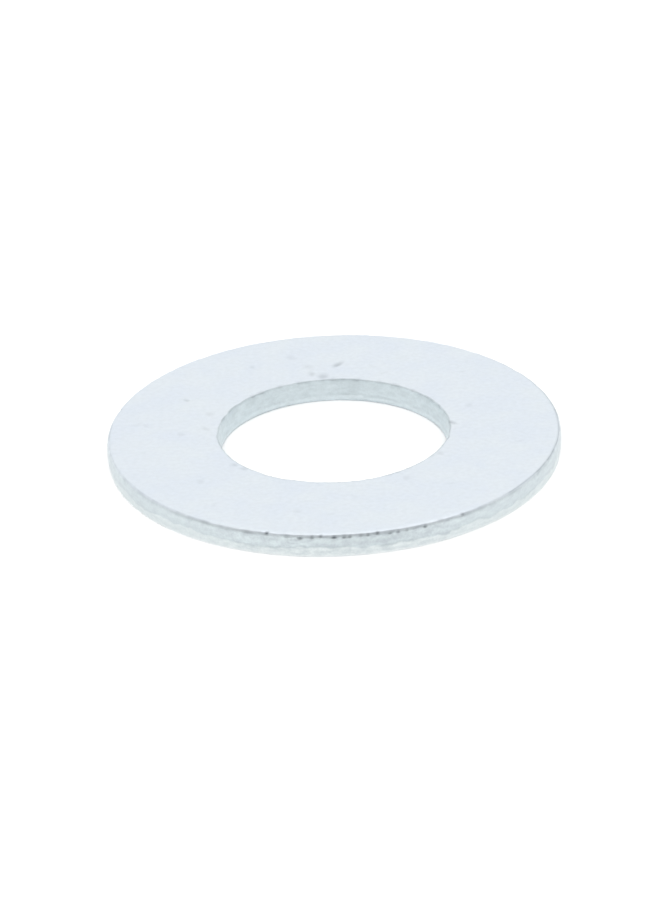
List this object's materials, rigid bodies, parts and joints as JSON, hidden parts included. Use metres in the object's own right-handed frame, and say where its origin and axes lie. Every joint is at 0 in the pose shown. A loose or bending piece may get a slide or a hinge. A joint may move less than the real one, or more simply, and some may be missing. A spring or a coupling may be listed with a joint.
{
  "type": "flat washer",
  "caption": "Plain round flat washer stamped from zinc-plated steel sheet. It spreads a bolt's or nut's load and shields the surface under it.",
  "frame": {"origin": "centre of the hole at the lower bearing face", "axes": "+Z along the hole's axis, from the lower bearing face to the upper one; X and Y lie in the lower bearing face"},
  "size_m": [0.021, 0.021, 0.0011],
  "materials": {
    "zinc_plated_steel": "bright bluish-white zinc plating, satin, slightly mottled on the cut edges"
  },
  "bodies": {
    "root": {"washer_ring": "zinc_plated_steel"}
  },
  "joints": []
}
